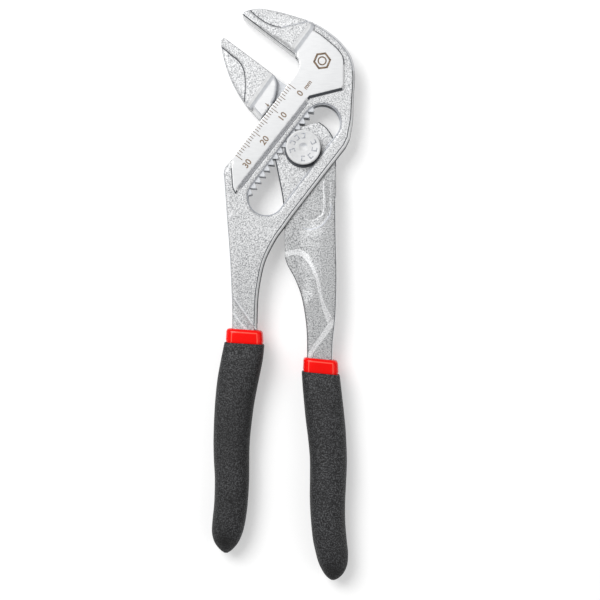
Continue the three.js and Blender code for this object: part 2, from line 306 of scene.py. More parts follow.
def noise(nt, scale, detail=2.0, rough=0.5, kind="noise"):
    co = nt.nodes.get("co") or nt.nodes.new("ShaderNodeTexCoord")
    co.name = "co"
    if kind == "noise":
        n = nt.nodes.new("ShaderNodeTexNoise")
        n.inputs["Detail"].default_value = detail
        n.inputs["Roughness"].default_value = rough
    else:
        n = nt.nodes.new("ShaderNodeTexVoronoi")
    n.inputs["Scale"].default_value = scale
    nt.links.new(co.outputs["Object"], n.inputs["Vector"])
    return n.outputs["Fac"] if kind == "noise" else n.outputs["Distance"]


def spread(nt, value, stops):
    r = nt.nodes.new("ShaderNodeValToRGB")
    e = r.color_ramp.elements
    while len(e) < len(stops):
        e.new(0.5)
    for k, (at, c) in enumerate(stops):
        e[k].position = at
        e[k].color = (c, c, c, 1) if isinstance(c, float) else (*c, 1)
    nt.links.new(value, r.inputs["Fac"])
    return r.outputs["Color"]


def bump(nt, bsdf, layers):
    """Stacked bumps: (height socket, strength, distance in metres)."""
    last = None
    for value, strength, depth in layers:
        b = nt.nodes.new("ShaderNodeBump")
        b.inputs["Strength"].default_value = strength
        b.inputs["Distance"].default_value = depth
        nt.links.new(value, b.inputs["Height"])
        if last:
            nt.links.new(last, b.inputs["Normal"])
        last = b.outputs["Normal"]
    nt.links.new(last, bsdf.inputs["Normal"])


def faded(nt, colour, top, bottom, least):
    """The colour, darkened down the tool as painted light falloff: whole above top, times least
    below bottom.
    """
    co = nt.nodes.get("co") or nt.nodes.new("ShaderNodeTexCoord")
    co.name = "co"
    split = nt.nodes.new("ShaderNodeSeparateXYZ")
    nt.links.new(co.outputs["Object"], split.inputs["Vector"])
    along = nt.nodes.new("ShaderNodeMapRange")
    along.inputs["From Min"].default_value = PIN.y + bottom * MM
    along.inputs["From Max"].default_value = PIN.y + top * MM
    along.inputs["To Min"].default_value = least
    along.inputs["To Max"].default_value = 1.0
    nt.links.new(split.outputs["Y"], along.inputs["Value"])
    mix = nt.nodes.new("ShaderNodeMix")
    mix.data_type = "RGBA"
    mix.blend_type = "MULTIPLY"
    mix.inputs["Factor"].default_value = 1.0
    nt.links.new(colour, mix.inputs["A"])
    nt.links.new(along.outputs["Result"], mix.inputs["B"])
    return mix.outputs["Result"]


def forged(
    name="forged", lo=(0.25, 0.255, 0.265), hi=(0.69, 0.695, 0.70), deep=0.00007, least=0.82
):
    """Plated forging: fine hammered grain, darker in its pits, with painted light falloff down the
    tool.
    """
    m, nt, b = nodes_of(name)
    grain = noise(nt, 2500, 1.5, 0.6)
    cells = noise(nt, 2100, kind="voronoi")
    coarse = noise(nt, 160, 3.0)
    middle = tuple(0.4 * a + 0.6 * c for a, c in zip(lo, hi))
    tint = spread(nt, grain, [(0.34, lo), (0.48, middle), (0.62, hi)])
    nt.links.new(faded(nt, tint, -5, -55, least), b.inputs["Base Color"])
    nt.links.new(spread(nt, coarse, [(0.3, 0.46), (0.7, 0.56)]), b.inputs["Roughness"])
    b.inputs["Metallic"].default_value = 0.3
    b.inputs["Specular IOR Level"].default_value = 0.35
    bump(nt, b, [(coarse, 0.25, 0.0004), (cells, 0.7, deep), (grain, 0.8, deep)])
    return m


def ground(name="ground"):
    """Ground flat: near white, with very fine grinding lines along the rail and painted light
    falloff down the tool.
    """
    m, nt, b = nodes_of(name)
    co = nt.nodes.new("ShaderNodeTexCoord")
    turn = nt.nodes.new("ShaderNodeMapping")
    turn.inputs["Rotation"].default_value = (0, 0, -math.radians(53))
    turn.inputs["Scale"].default_value = (1, 24, 1)
    n = nt.nodes.new("ShaderNodeTexNoise")
    n.inputs["Scale"].default_value = 260
    n.inputs["Detail"].default_value = 3
    nt.links.new(co.outputs["Object"], turn.inputs["Vector"])
    nt.links.new(turn.outputs["Vector"], n.inputs["Vector"])
    lines = n.outputs["Fac"]
    tint = spread(nt, lines, [(0.3, (0.625, 0.63, 0.64)), (0.7, (0.68, 0.685, 0.69))])
    nt.links.new(faded(nt, tint, 25, -15, 0.9), b.inputs["Base Color"])
    nt.links.new(spread(nt, lines, [(0.3, 0.30), (0.7, 0.40)]), b.inputs["Roughness"])
    b.inputs["Metallic"].default_value = 0.3
    bump(nt, b, [(lines, 0.1, 0.00002)])
    return m


def smooth_metal(name, colour, rough=0.3, metallic=0.8, grain=0.25):
    m, nt, b = nodes_of(name)
    n = noise(nt, 900, 2.0)
    big = noise(nt, 120, 2.0)
    dark = tuple(c * 0.88 for c in colour)
    nt.links.new(spread(nt, n, [(0.3, dark), (0.7, colour)]), b.inputs["Base Color"])
    nt.links.new(spread(nt, big, [(0.3, rough - 0.05), (0.7, rough + 0.08)]), b.inputs["Roughness"])
    b.inputs["Metallic"].default_value = metallic
    bump(nt, b, [(n, grain, 0.00004)])
    return m


def ink(name="etched"):
    m, nt, b = nodes_of(name)
    n = noise(nt, 2500, 2.0)
    brown = spread(nt, n, [(0.3, (0.15, 0.10, 0.065)), (0.7, (0.24, 0.17, 0.11))])
    nt.links.new(brown, b.inputs["Base Color"])
    nt.links.new(spread(nt, n, [(0.3, 0.55), (0.7, 0.7)]), b.inputs["Roughness"])
    return m


def black_grip(name, tip):
    """Moulded black plastic with a fine pebble grain, worn smoother and darker at its tip."""
    m, nt, b = nodes_of(name)
    away = nt.nodes.new("ShaderNodeVectorMath")
    away.operation = "DISTANCE"
    away.inputs[1].default_value = place(*tip)
    co = nt.nodes.new("ShaderNodeTexCoord")
    nt.links.new(co.outputs["Object"], away.inputs[0])
    scaled = nt.nodes.new("ShaderNodeMath")
    scaled.operation = "MULTIPLY"
    scaled.inputs[1].default_value = 50.0
    nt.links.new(away.outputs["Value"], scaled.inputs[0])
    worn = spread(nt, scaled.outputs["Value"], [(0.04, 0.22), (0.27, 1.0)])
    grain = noise(nt, 2300, 2.0, 0.6)
    cells = noise(nt, 1900, kind="voronoi")
    dark = (0.001, 0.001, 0.0012)
    middle, light = (0.0115, 0.012, 0.013), (0.060, 0.061, 0.064)
    broad = spread(nt, noise(nt, 45, 1.0), [(0.35, 0.75), (0.65, 1.15)])
    tint = spread(nt, grain, [(0.39, dark), (0.5, middle), (0.62, light)])
    for factor in (worn, broad):
        mix = nt.nodes.new("ShaderNodeMix")
        mix.data_type = "RGBA"
        mix.blend_type = "MULTIPLY"
        mix.inputs["Factor"].default_value = 1.0
        nt.links.new(tint, mix.inputs["A"])
        nt.links.new(factor, mix.inputs["B"])
        tint = mix.outputs["Result"]
    nt.links.new(tint, b.inputs["Base Color"])
    nt.links.new(spread(nt, grain, [(0.3, 0.78), (0.7, 0.58)]), b.inputs["Roughness"])
    b.inputs["Specular IOR Level"].default_value = 0.45
    bump(nt, b, [(cells, 0.4, 0.00006), (grain, 0.9, 0.00009)])
    return m


def red_gloss(name="red_sleeve", colour=(0.88, 0.005, 0.003)):
    m, nt, b = nodes_of(name)
    n = noise(nt, 90, 2.0)
    tint = spread(nt, n, [(0.3, tuple(0.9 * c for c in colour)), (0.7, colour)])
    nt.links.new(tint, b.inputs["Base Color"])
    nt.links.new(spread(nt, n, [(0.3, 0.16), (0.7, 0.24)]), b.inputs["Roughness"])
    b.inputs["Specular IOR Level"].default_value = 0.15
    bump(nt, b, [(n, 0.15, 0.0002)])
    return m


FORGED = forged()
FORGED_DARK = forged("forged_darker", (0.17, 0.175, 0.18), (0.54, 0.545, 0.55), least=0.95)
FLAT = ground()
# The bevel colour: smooth machined metal, and a painted highlight where lit slopes, fillets and
# walls are made lighter.
BEVEL_HIGHLIGHT = smooth_metal("bevel", (0.76, 0.765, 0.77), 0.34, 0.4, 0.5)
SHADE = smooth_metal("shade", (0.40, 0.415, 0.45), 0.45, 0.4, 0.8)
# The slope colour: darker forged grain for the slope beside the ruler, painted shade.
SLOPE_SHADE = forged("slope_grain_shade", (0.25, 0.255, 0.27), (0.52, 0.53, 0.55))
# The soft shade colour: painted shade for recesses, the tongue under the ruler, fillets, corners
# and the dimple.
SOFT_SHADE = smooth_metal("soft_shade", (0.56, 0.575, 0.60), 0.45, 0.3, 0.6)
# The edge colour: near black lines of painted shade along creases, rims and outlines, and the cap's
# painted shadow ring.
EDGE_SHADE = smooth_metal("edge", (0.075, 0.08, 0.09), 0.5, 0.4, 0.8)
BOLT = smooth_metal("bolt", (0.60, 0.61, 0.63), 0.35, 0.8)
BUTTON = smooth_metal("button", (0.63, 0.635, 0.64), 0.58, 0.1, 0.4)
SPRING = smooth_metal("spring", (0.5, 0.51, 0.53), 0.3, 0.9)
# The pale colour: lighter forged grain for the arch, the U's foot and the tang lines, painted
# highlights.
PALE_HIGHLIGHT = forged("pale_grain_highlight", (0.42, 0.425, 0.435), (0.70, 0.705, 0.71), 0.00004, 0.97)
# Each list of materials is followed by their numbers in it, which the zones give.
METALS = [FORGED, FLAT, BEVEL_HIGHLIGHT, SHADE, EDGE_SHADE, SOFT_SHADE, SLOPE_SHADE, PALE_HIGHLIGHT]
M_FORGED, M_FLAT, M_BEVEL_HIGHLIGHT, M_SHADE, M_EDGE_SHADE, M_SOFT_SHADE, M_SLOPE_SHADE, M_PALE_HIGHLIGHT = range(8)
CAM_METALS = [FORGED_DARK, BEVEL_HIGHLIGHT, SHADE, EDGE_SHADE, FORGED, PALE_HIGHLIGHT]
C_DARKER, C_BEVEL_HIGHLIGHT, C_SHADE, C_EDGE_SHADE, C_FORGED_LIT, C_PALE_HIGHLIGHT = range(6)
BUTTON_METALS = [BUTTON, SOFT_SHADE, SHADE]
B_CAP, B_SOFT_SHADE, B_SHADE = range(3)
INK = ink()
RED = red_gloss()
RED_HIGHLIGHT = red_gloss("red_painted_highlight", (0.95, 0.09, 0.06))

# ---------------------------------------------------------------- fixed lever
# Widths of the zones along the outlines and creases, where light and shade are painted; some also
# shape the slopes.
LINE, RIM_LINE, CREASE_LINE = 0.32, 0.16, 0.17
STEP_SHADE, STEP_BAND = 1.2, 2.4
STEP2_SHADE, STEP2_BAND = 1.1, 2.2
SLOPE_WIDTH, SLOPE_OUTER, WALL_WIDTH, FLAT_RIM = 1.25, 1.41, 0.9, 0.36
RECESS_RIM, JAW_LINE, TANG_HALF = 0.35, 0.26, 0.3

THROAT = curve(
    [rail(FIXED_FACE, -21.2), rail(22.5, -18.7), rail(20.4, -17.4), rail(17.0, RULER_EDGE)], 14,
)
SHOULDER = curve(
    [(-26.5, -6.6), (-27.0, -8.7), (-26.7, -11.5), (-25.8, -24.4), (-24.8, -38.0), (-24.2, -51.6)],
    26,
)
STRIP_BACK = curve(
    [
        (-3.5, -22.9), (-6.5, -27.1), (-9.4, -31.2), (-12.8, -38.0), (-14.5, -44.8), (-15.4, -51.6),
        (-15.7, -61.0),
    ],
    28,
)
BROW = curve(
    [
        (15.95, 3.2), (16.9, 9.4), (17.1, 16.2), (17.55, 25.0), (16.3, 30.9), (12.9, 35.7),
        (9.7, 38.6), (5.6, 41.4), (1.6, 43.2),
    ],
    40,
)
NOSE = curve([(1.6, 43.2), (-7.9, 46.0), (-14.0, 47.0), (-18.2, 46.5), (-20.3, 45.6)], 18)
FIXED = [
    rail(FIXED_FACE, -43.4), *THROAT, rail(-18.5, RULER_EDGE), *SHOULDER, (-24.15, -64.0),
    (-15.8, -64.0), *STRIP_BACK[::-1], rail(9.0, 11.4), *BROW, *NOSE[1:],
]
GROUND_EDGE = [
    (-24.3, -4.9), (-24.1, -8.0), (-23.7, -13.4), (-22.9, -15.2), rail(-23.9, RULER_INNER),
    rail(13.1, -9.1), (2.0, 17.5), (12.8, 20.2), (13.5, 20.9),
    *curve([(13.6, 28.8), (13.2, 30.8), (11.6, 33.1), (9.1, 35.4), (5.6, 38.2), (3.3, 39.6)], 16),
]
GROUND_FLAT = [(-2.2, 32.2), *THROAT[2:], rail(-18.5, RULER_EDGE), *GROUND_EDGE]
CREASE = curve(
    [(2.0, 42.7), (-4.5, 41.2), (-8.0, 40.7), (-12.2, 42.0), (-15.9, 44.5), (-17.9, 46.3)], 24,
)
STEP = [(-2.2, 32.2), (3.3, 39.6), (4.0, 41.8)]
FIXED_JAW = [rail(FIXED_FACE, -43.4), *STEP, *CREASE, (-20.2, 45.6)]
SLOT = [
    rail(22.6, -30), rail(22.6, -20.9), rail(24, -20.9), rail(24, -7), rail(20.9, -5.5),
    rail(21, 0), rail(19.6, 5.7), rail(17, 9), rail(16.2, 10.8), rail(15.6, 20), rail(0, 45),
    rail(-57.6, 45), rail(-57.6, 26), rail(-57, 21.2), rail(-54, 16.9), rail(-46.2, 10.8),
    rail(-39.2, 4.9), rail(-34.5, -0.6), rail(-31.5, -5), rail(-29.5, -8.5), rail(-29.5, -30),
]


def stadium(r, s0=WINDOW_BOTTOM, s1=WINDOW_TOP, steps=28):
    """A slot of half width r along the rail, with round ends."""
    turn = [math.pi * i / steps for i in range(steps + 1)]
    return [rail(s1 + r * math.sin(a), -r * math.cos(a)) for a in turn] + [
        rail(s0 - r * math.sin(a), r * math.cos(a)) for a in turn
    ]


def window():
    """The opening, with the rack's teeth along its left side."""
    steps = 40
    pts = []
    for i in range(steps + 1):
        a = math.pi * i / steps
        s, t = WINDOW_TOP + WINDOW_R * math.sin(a), -WINDOW_R * math.cos(a)
        if t > -5.7:
            pts.append(rail(s, t))
    for i in range(steps + 1):
        a = math.pi * i / steps
        s, t = WINDOW_BOTTOM - WINDOW_R * math.sin(a), WINDOW_R * math.cos(a)
        if t > -5.4 and i:
            pts.append(rail(s, t))
    for i in reversed(range(TEETH)):
        s = FIRST_TOOTH - i * PITCH
        if i < TEETH - 1:
            pts.append(rail(s - PITCH / 2, ROOT))
        pts += [rail(s - 0.12, TIP), rail(s + 0.12, TIP)]
    return pts


WINDOW = window()
RECESS = stadium(6.6)
TANG_LINE = [(-23.2, -51.2), (-17.7, -59.1), (-16.3, -61.0), (-15.0, -62.8)]
TANG_LINE2 = [(-23.9, -55.9), (-21.6, -58.9), (-18.6, -62.4)]


def border(d, drop=0.8):
    """The rounded, drafted edge of a forging, by distance from its outline."""
    return np.interp(
        d, [0, 0.12, 0.35, 0.7, 1.15], [-drop, -0.72 * drop, -0.3 * drop, -0.08 * drop, 0],
    )


RIGHT = [*STRIP_BACK[::-1], rail(9.0, 11.4), *BROW]
SLOPE = GROUND_EDGE[4:6]
WALL = [(0.9, 16.3), *GROUND_EDGE[6:8]]


def slope_width(p):
    """How wide the slope beside the ground flat is."""
    near = distance(GROUND_EDGE, p, False) + 0.02
    width = np.full(len(p), FLAT_RIM)
    width[distance(SLOPE, p, False) < near] = SLOPE_WIDTH
    width[distance(WALL, p, False) < near] = WALL_WIDTH
    return width


def fixed_height(p):
    edge = distance(FIXED, p)
    flat = inside(GROUND_FLAT, p)
    jaw = inside(FIXED_JAW, p)
    z = np.full(len(p), PLATE)
    z -= 0.25 * ramp(16 - distance([rail(-20, 0), rail(12, 0)], p, False), 6)
    out = distance(GROUND_EDGE, p, False)
    z = np.where(flat, GROUND, z + (GROUND - z) * (1 - ramp(out, slope_width(p))))
    step = distance(STEP, p, False)
    crease = distance(CREASE, p, False)
    lift = np.minimum(ramp(step, STEP_BAND), ramp(crease, 0.6))
    under = np.where(step < crease, GROUND, JAW - 0.5)
    z = np.where(jaw, under + (JAW - under) * lift, z)
    pocket = ~jaw & ~flat & (p[:, 1] > 40.5) & (p[:, 0] < 3)
    z = np.where(pocket, JAW - 0.75 - 0.2 * ramp(crease, 4.0), z)
    tang = inside([*TANG_LINE, (-15, -70), (-25, -70), (-25, -51)], p)
    z = np.where(tang, z - 0.4 * ramp(distance(TANG_LINE, p, False), 0.9), z)
    recess = inside(RECESS, p)
    z = np.where(recess, RACK, z)
    rim = distance(RECESS, p)
    lip = RACK + (PLATE - 0.3 - RACK) * (1 - rim / RECESS_RIM)
    z = np.where(recess & (rim < RECESS_RIM), lip, z)
    z = np.where(~recess & (rim < 0.5), z - 0.22 * (1 - rim / 0.5), z)
    beyond = inside([rail(-18.6, -18), rail(30, -18), rail(30, -50), rail(19, -50)], p)
    face = jaw & (distance([FIXED[0], THROAT[0]], p, False) < 0.6)
    sharp = beyond | (flat & (edge < out)) | face
    bevelled = distance(RIGHT, p, False) < edge + 0.02
    fine = np.interp(edge, [0, 0.08], [-0.05, 0])
    bevel = np.interp(edge, [0, 0.15, 0.85], [-0.9, -0.6, 0])
    z += np.where(bevelled, bevel, 0)
    return z + np.where(bevelled, 0, np.where(sharp, fine, border(edge)))


def inset(p):
    """How far in from the right-hand outline its bevel ends."""
    return np.interp(p[:, 1], [-50, -8, 5, 16], [0.8, 1.0, 1.0, 0.55])


def fixed_zone(p):
    z = np.full(len(p), M_FORGED)
    flat = inside(GROUND_FLAT, p)
    jaw = inside(FIXED_JAW, p)
    out = distance(GROUND_EDGE, p, False)
    width = slope_width(p)
    # The recess is painted in soft shade, darker along its rim.
    z[inside(RECESS, p)] = M_SOFT_SHADE
    z[inside(RECESS, p) & (distance(RECESS, p) < RECESS_RIM)] = M_SHADE
    # The slope beside the ruler is painted shade with a dark painted line at its foot; the wall
    # above it and the flat's thin rim are dark painted shade, the rim lower down a painted
    # highlight, and the rim at the left end dark again.
    z[~flat & (out < width) & (width > 1)] = M_SLOPE_SHADE
    z[~flat & (out > width) & (out < width + 0.16) & (width > 1)] = M_EDGE_SHADE
    z[~flat & (out < width) & (width < 1) & (p[:, 1] < 39.3)] = M_EDGE_SHADE
    z[~flat & (out < width) & (width < 0.5) & (p[:, 1] < 28)] = M_BEVEL_HIGHLIGHT
    z[~flat & (out < width) & (p[:, 0] < -22.5) & (p[:, 1] < -7)] = M_EDGE_SHADE
    # The fillet band under the jaw is painted light, and soft shade beside the step.
    band = distance(STEP, p, False)
    z[jaw & (band < STEP_BAND)] = M_BEVEL_HIGHLIGHT
    z[jaw & (band < STEP_SHADE)] = M_SOFT_SHADE
    z[flat] = M_FLAT
    # The crease is a painted shade line, darkest in its left part.
    crease = distance(CREASE[9:], p, False)
    z[distance(CREASE[1:10], p, False) < 0.12] = M_SHADE
    z[crease < CREASE_LINE] = M_EDGE_SHADE
    # Each tang line is a painted highlight with a painted shade line beside it.
    for line in (TANG_LINE, TANG_LINE2):
        tang = distance(line, p, False)
        z[tang < TANG_HALF] = M_PALE_HIGHLIGHT
        z[(tang > TANG_HALF) & (tang < 0.42)] = M_SHADE
    # The bevel along the right outline is painted light, with painted shade lines at its inner edge
    # and at the rim, greyer along the brow.
    right, deep = distance(RIGHT, p, False), inset(p)
    brow = p[:, 1] > 26
    z[right < deep] = M_BEVEL_HIGHLIGHT
    z[(right > deep) & (right < deep + LINE)] = M_EDGE_SHADE
    z[(right > deep) & (right < deep + LINE) & brow] = M_SHADE
    z[right < RIM_LINE] = M_EDGE_SHADE
    z[(right < RIM_LINE) & brow] = M_SHADE
    # Painted shade lines along the jaw's face, the shoulder and the nose.
    z[distance([FIXED[0], THROAT[0]], p, False) < JAW_LINE] = M_EDGE_SHADE
    z[distance(SHOULDER, p, False) < 0.18] = M_SHADE
    z[distance(NOSE, p, False) < 0.15] = M_SHADE
    return z


def fixed_wall(p):
    z = np.full(len(p), M_FORGED)
    # The walls of the jaw face and throat are painted light, those of the window painted shade.
    z[distance([FIXED[0], *THROAT], p, False) < 0.1] = M_BEVEL_HIGHLIGHT
    z[distance(WINDOW, p) < 0.1] = M_SHADE
    return z


def fixed_keep(p):
    return inside(FIXED, p) & ~inside(WINDOW, p)


def fixed_lever():
    """Two plates with their outer faces shaped, and the middle sheet that joins them."""
    bm = bmesh.new()
    tang = (-0.5, -TANG_HALF, TANG_HALF, 0.5)
    bevel = inset(np.array(RIGHT))
    features = [
        (GROUND_EDGE, False),
        (CREASE, False), *beside(CREASE, 0.35, 0.7),
        (STEP, False), *beside(STEP, STEP_SHADE, STEP_BAND),
        (RECESS, True), (stadium(6.25), True), (stadium(7.1), True),
        (TANG_LINE, False),
        *beside(RIGHT, RIM_LINE, bevel, bevel + LINE, trim=1),
        *beside([THROAT[0], FIXED[0]], -JAW_LINE),
        *beside(CREASE, CREASE_LINE, -CREASE_LINE),
        *beside(GROUND_EDGE[:4], -FLAT_RIM),
        *beside(SLOPE, -SLOPE_WIDTH), *beside(WALL, -WALL_WIDTH),
        *beside(GROUND_EDGE[8:], -FLAT_RIM),
        *beside(SLOPE, -SLOPE_OUTER),
        *beside(TANG_LINE, *tang), *beside(TANG_LINE2, *tang),
    ]
    for top, bottom in ((fixed_height, level(GAP)), (level(-GAP), mirrored(fixed_height))):
        layer(
            bm, fixed_keep, [FIXED, WINDOW], top, bottom, 0.55, fixed_zone, features,
            wall=fixed_wall,
        )
    layer(
        bm, lambda p: fixed_keep(p) & ~inside(SLOT, p), [FIXED, SLOT, WINDOW],
        level(GAP + 0.02), level(-GAP - 0.02), 1.0, None, (), (), wall=fixed_wall,
    )
    return link("fixed_lever_body", bm, METALS, "fixed_lever")


# ---------------------------------------------------------------- sliding jaw
BACK = curve(
    [
        (-27.5, 36.6), (-27.85, 35.4), (-26.9, 30.0), (-24.5, 23.2), (-20.8, 16.7), (-16.4, 11.3),
        rail(-1.2, -17.3),
    ],
    34,
)
CORNER = curve(
    [
        rail(5.8, -17.3), rail(7.6, -17.6), rail(10.1, -18.7), rail(12.4, -20.2),
        rail(SLIDING_FACE, -21.9),
    ],
    18,
)
SLIDING = [
    rail(SLIDING_FACE, -43.2), (-27.2, 37.4), *BACK, rail(-5.3, -12.2), rail(-5.3, -7.7),
    rail(-3.35, -7.7), rail(-3.35, -13.9), rail(3.35, -13.9), rail(3.35, -7.7),
    rail(SLIDING_FACE, -7.7),
]
THICK = [
    rail(SLIDING_FACE + 0.5, -43.6), (-28.4, 37.6), (-28.6, 34.0), *BACK[4:], *CORNER,
    rail(SLIDING_FACE + 0.5, -21.9),
]
CREASE2 = curve(
    [
        (-28.0, 34.2), (-27.0, 33.5), (-24.7, 31.5), (-21.7, 29.0), (-20.0, 25.7), (-19.6, 21.0),
        (-19.9, 15.6),
    ],
    26,
)
STEP2 = [(-17.5, 12.7), (-9.6, 23.9)]
SLIDING_JAW = [rail(SLIDING_FACE + 0.5, -43.6), *CREASE2, (-19.2, 13.6), *STEP2, (-8.8, 24.5)]
BESIDE_STEP2 = [*STEP2, rail(30, -23), rail(30, 20), rail(-30, 20), (-15, 5)]
FRONT = [rail(-1.2, -17.3), *CORNER]
CHAMFER_WIDTH, CHAMFER_LINE = 1.35, 1.6
CHAMFER2 = [(-18.4, 13.8), (-16.4, 11.3), rail(-1.2, -17.3)]


def sliding_height(p):
    z = np.full(len(p), BLADE)
    rib = inside([rail(1.5, -16.2), rail(13, -16.2), rail(13, -14.6), rail(1.5, -14.6)], p)
    z[rib] = 3.35
    thick = inside(THICK, p)
    wall = distance(CORNER, p, False)
    sharp = distance([rail(-1.2, -17.3), CORNER[0]], p, False)
    drop = np.interp(wall, [0, 0.15, 0.4, 0.8], [0.55, 0.8, 0.95, 1])
    z = np.where(thick, BLADE + (GROUND - BLADE) * np.where(sharp < wall, 1.0, drop), z)
    low = distance(CHAMFER2, p, False)
    z = np.where(thick, z - 1.3 * (1 - np.clip(low / CHAMFER_WIDTH, 0, 1)), z)
    jaw = inside(SLIDING_JAW, p)
    step, crease = distance(STEP2, p, False), distance(CREASE2, p, False)
    pocket = thick & ~jaw & ~inside(BESIDE_STEP2, p)
    z = np.where(pocket, JAW - 0.75, z)
    under = np.where(step < crease, GROUND, JAW - 0.5)
    z = np.where(
        jaw, under + (JAW - under) * np.minimum(ramp(step, STEP2_BAND), ramp(crease, 0.7)), z,
    )
    edge = distance(SLIDING, p)
    face = distance([SLIDING[0], rail(SLIDING_FACE, -7.7)], p, False)
    fine = np.interp(face, [0, 0.08], [-0.05, 0])
    rounded = np.where(face < edge + 0.02, fine, border(edge, 0.6))
    return z + np.where(thick, rounded, 0)


def sliding_zone(p):
    z = np.full(len(p), M_FORGED)
    thick, jaw = inside(THICK, p), inside(SLIDING_JAW, p)
    right = inside(BESIDE_STEP2, p)
    # The thin tongue is painted in soft shade.
    z[~thick] = M_SOFT_SHADE
    z[thick & right] = M_FLAT
    # The chamfer is painted light with a painted shade line at its edge; the rounded corner is soft
    # shade, darker at the outline.
    low = distance(CHAMFER2, p, False)
    z[thick & (low < CHAMFER_WIDTH)] = M_BEVEL_HIGHLIGHT
    z[thick & (low > CHAMFER_WIDTH) & (low < CHAMFER_LINE)] = M_SHADE
    z[thick & (distance(CORNER, p, False) < 0.8)] = M_SOFT_SHADE
    z[thick & (distance(CORNER, p, False) < 0.22)] = M_SHADE
    # The fillet band is painted light, and soft shade beside the step.
    band = distance(STEP2, p, False)
    z[jaw & (band < STEP2_BAND)] = M_BEVEL_HIGHLIGHT
    z[jaw & (band < STEP2_SHADE)] = M_SOFT_SHADE
    # Painted shade lines along the crease, the back rim and the jaw's face.
    z[distance(CREASE2[2:], p, False) < CREASE_LINE] = M_EDGE_SHADE
    z[distance(BACK[:24], p, False) < RIM_LINE] = M_SHADE
    face = [rail(SLIDING_FACE, -43.2), rail(SLIDING_FACE, -21.9)]
    z[distance(face, p, False) < RIM_LINE] = M_EDGE_SHADE
    return z


def sliding_jaw():
    """The jaw with its tongue, which runs between the plates of the fixed lever."""
    bm = bmesh.new()
    features = [
        (CREASE2, False), *beside(CREASE2, 0.4, 0.8),
        *beside(CREASE2[2:], CREASE_LINE, -CREASE_LINE),
        (STEP2, False), *beside(STEP2, STEP2_SHADE, STEP2_BAND),
        (FRONT, False), *beside(FRONT, -0.1, 0.4, 0.8),
        *beside(CHAMFER2, -CHAMFER_WIDTH, -CHAMFER_LINE, CHAMFER_WIDTH, CHAMFER_LINE),
    ]
    layer(
        bm, lambda p: inside(SLIDING, p), [SLIDING], sliding_height,
        mirrored(sliding_height), 0.5, sliding_zone, features,
    )
    return link("sliding_jaw_body", bm, METALS, "sliding_jaw")


# ---------------------------------------------------------------- cam lever
CROWN = curve([(5.4, 8.85), (7.4, 7.5), (9.1, 5.5), (10.3, 3.1), (10.9, -1.5), (11.2, -6.0)], 22)
OUTER = curve(
    [(11.2, -17.0), (11.3, -30.0), (11.6, -44.0), (11.2, -57.0), (10.3, -66.0), (10.1, -74.0)], 24,
)
INNER = curve(
    [(1.3, -74.0), (1.2, -62.0), (-0.3, -51.6), (-2.6, -44.8), (-5.2, -40.0), (-6.2, -37.2)], 24,
)
FLANK = curve([(-6.35, -27.0), (-6.9, -18.0), (-8.2, -10.8), rail(-8.8, -5.4)], 12)
LOBE = [
    rail(3.2 * math.sin(a), -10.2 - 3.2 * math.cos(a))
    for a in (math.radians(-130 + 260 * i / 22) for i in range(23))
]
CAM_OUT = [
    *CROWN, *OUTER, *INNER, *FLANK, rail(-8.0, -6.6), rail(-2.0, -6.9), *LOBE, rail(2.0, -6.9),
    rail(3.2, -6.2), rail(6.6, -4.1), rail(8.8, -2.5),
]
U_EDGE = curve(
    [
        (9.4, -11.0), (9.4, -21.0), (8.4, -23.8), (6.4, -26.2), (4.2, -27.3), (1.9, -27.6),
        (-0.1, -27.0),
    ],
    30,
)
U_FOOT = curve([(6.84, -11.5), (6.84, -21.0), (5.0, -23.6), (2.8, -24.7), (0.6, -24.2)], 24)
U_LINE, U_FOOT_LINE, OUTER_BEVEL, OUTER_LINE = 0.18, 0.2, 0.4, 0.62
FLANK_LINE, CROWN_LINE, INNER_LINE = 0.45, 0.34, 0.22
BORE_R, SEAT_R, SEAT_Z = 3.55, 4.4, 1.2
CAM_SIDE = [(-0.1, -27.0), (-1.4, -28.2), (-1.5, -41.0), (-1.4, -48.0)]
THICK_CAM = [(12.5, -11.0), *U_EDGE, *CAM_SIDE[1:], (-4, -52), (-4, -80), (13, -80)]
ARCH_OUT = curve(
    [
        (-6.4, -35.2), (-4.1, -34.6), (-1.7, -34.3), (0.6, -35.2), (2.3, -37.0), (3.3, -39.5),
        (4.9, -43.3), (5.95, -47.6), (7.05, -52.3), (9.8, -57.6),
    ],
    34,
)
ARCH_IN = curve(
    [
        (-6.4, -37.6), (-4.1, -36.4), (-2.2, -36.3), (-0.4, -36.9), (1.4, -38.7), (2.6, -40.7),
        (4.2, -44.6), (5.2, -49.0), (6.3, -53.7), (8.2, -59.6),
    ],
    34,
)
ARCH = [*ARCH_OUT, *ARCH_IN[::-1]]
POCKET = [*ARCH_IN, (9.4, -58.2), (1.0, -70.6), (-1, -75), (-8, -75), (-8, -37.6)]
DIAGONAL = [
    (12.4, -55.4), (12.2, -58.6), (10.2, -60.6), (2.6, -70.6), (1.6, -71.8), (0.9, -71.8),
    (1.0, -70.6), (9.4, -58.2),
]
TANG2 = [(12.4, -58.6), (10.2, -60.6), (2.6, -70.6), (1, -71.8), (0, -80), (13, -80)]


